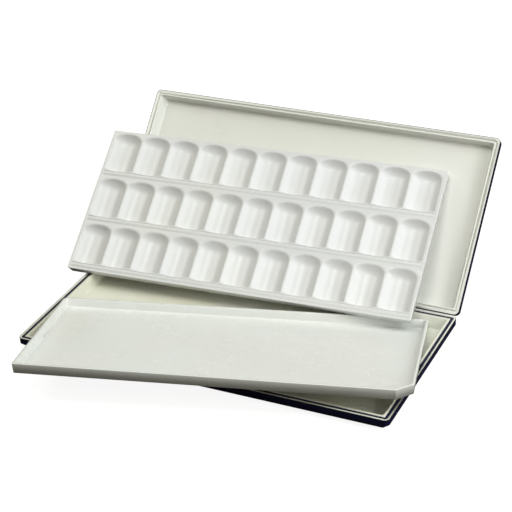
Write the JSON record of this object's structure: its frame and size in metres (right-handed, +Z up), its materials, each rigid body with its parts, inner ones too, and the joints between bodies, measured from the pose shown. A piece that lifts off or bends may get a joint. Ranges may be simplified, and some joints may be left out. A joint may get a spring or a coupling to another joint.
{
  "type": "watercolor palette box",
  "caption": "Flat hinged paint palette box, open, with a gasketed base, a tray of paint wells and a flat mixing tray leaning as in use.",
  "frame": {"origin": "centre of the flat underside of the base, which stands on the table", "axes": "+X along the hinge line to the right, +Y towards the hinge, +Z up"},
  "size_m": [0.3866, 0.3598, 0.1321],
  "materials": {
    "navy_shell": "navy moulded plastic, satin gloss",
    "white_liner": "white moulded plastic, satin gloss",
    "gasket": "soft dark blue rubber",
    "pin_steel": "drawn steel wire",
    "well_white": "white moulded plastic, gloss",
    "mixing_white": "white moulded plastic, gloss"
  },
  "bodies": {
    "base": {"base_shell": "navy_shell", "base_liner": "white_liner", "rim_gasket": "gasket", "hinge_pin_left": "pin_steel", "hinge_pin_right": "pin_steel"},
    "lid": {"lid_shell": "navy_shell", "lid_liner": "white_liner"},
    "well_tray": {"well_tray": "well_white"},
    "mixing_tray": {"mixing_tray": "mixing_white"}
  },
  "joints": [
    {"name": "lid_hinge", "type": "hinge", "parent": "base", "child": "lid", "pos_m": [0, 0.0833, 0.01335], "axis": [1, 0, 0], "range_deg": [0, 134.2]},
    {"name": "well_tray_lift", "type": "slide", "parent": "base", "child": "well_tray", "axis": [0, -0.8, 0.6], "range_m": [0, 0.4]},
    {"name": "mixing_tray_lift", "type": "slide", "parent": "base", "child": "mixing_tray", "axis": [0, -0.8, 0.6], "range_m": [0, 0.4]}
  ],
  "couplings": [
    {"joint": "well_tray_lift", "follows": "lid_hinge", "m_per_rad": 0.1707},
    {"joint": "mixing_tray_lift", "follows": "lid_hinge", "m_per_rad": 0.1707}
  ]
}
